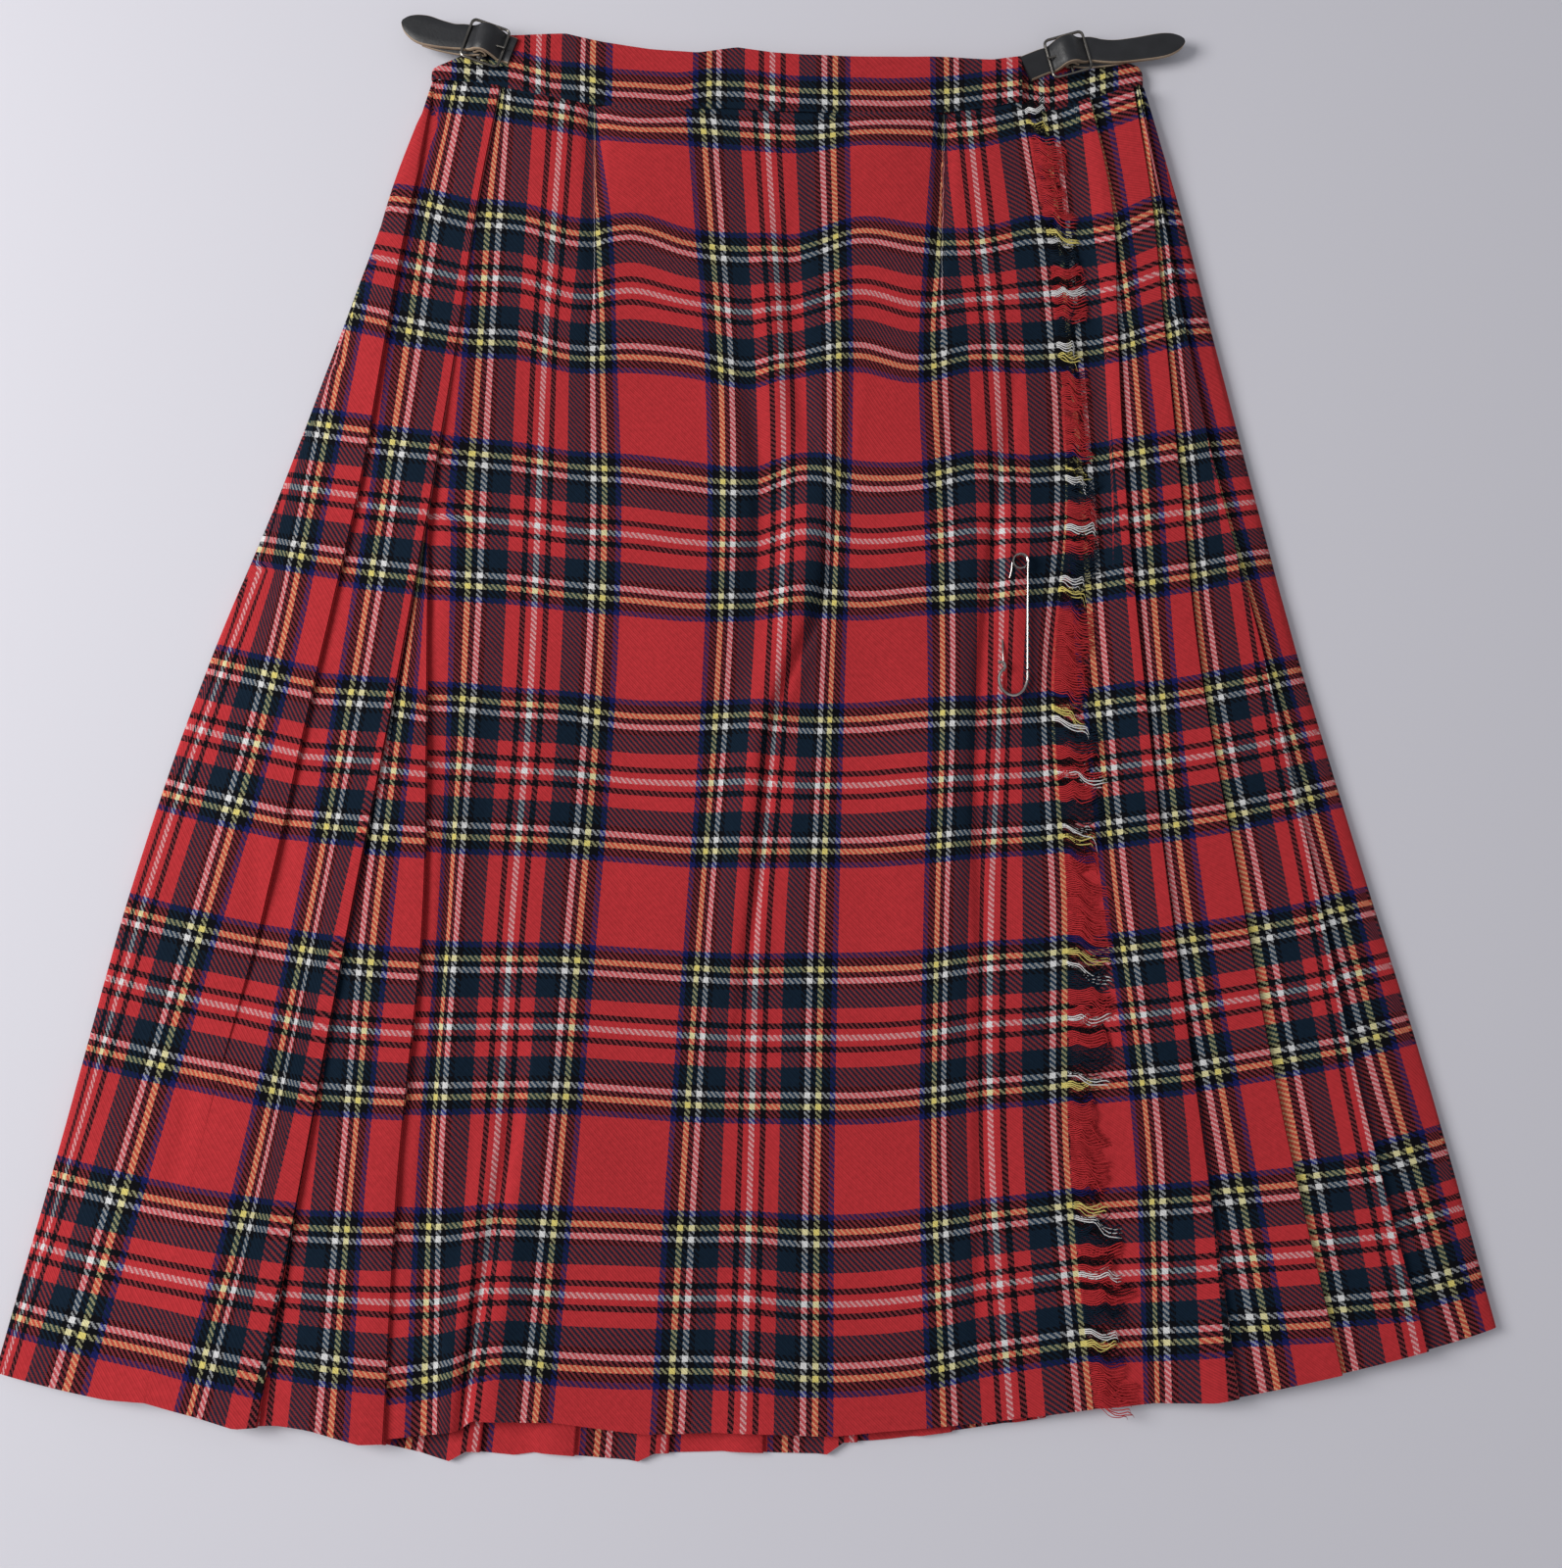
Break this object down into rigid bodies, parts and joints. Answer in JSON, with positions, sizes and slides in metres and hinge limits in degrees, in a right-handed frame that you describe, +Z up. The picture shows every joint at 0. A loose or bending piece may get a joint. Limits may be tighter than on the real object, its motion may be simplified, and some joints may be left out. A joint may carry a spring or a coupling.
{
  "type": "scottish kilt laid flat",
  "caption": "Pleated wrap kilt in red tartan, laid flat, with a fringed apron, a waistband, buckled leather straps and a kilt pin.",
  "frame": {"origin": "middle of the footprint, on the surface that the kilt lies on", "axes": "+Y from the hem to the waist, +Z up out of the front, +X to the fringed side"},
  "size_m": [0.736, 0.7479, 0.0169],
  "materials": {
    "tartan_cloth": "matt twill, red tartan with green, blue, black, white and yellow lines",
    "fringe_yarn": "loose twisted yarn in the colours of the cloth",
    "black_leather": "fine grain, satin, raw tan edges",
    "polished_steel": "polished wire"
  },
  "bodies": {
    "root": {"apron_fringe": "fringe_yarn", "buckle_left": "polished_steel", "buckle_right": "polished_steel", "chape_left": "black_leather", "chape_right": "black_leather", "kilt_pin": "polished_steel", "kilt_pin_clasp": "polished_steel", "over_apron": "tartan_cloth", "pleats_back": "tartan_cloth", "pleats_left": "tartan_cloth", "pleats_right": "tartan_cloth", "prong_left": "polished_steel", "prong_right": "polished_steel", "strap_left": "black_leather", "strap_right": "black_leather", "under_apron": "tartan_cloth", "waistband_back": "tartan_cloth", "waistband_front": "tartan_cloth", "waistband_under": "tartan_cloth"}
  },
  "joints": []
}
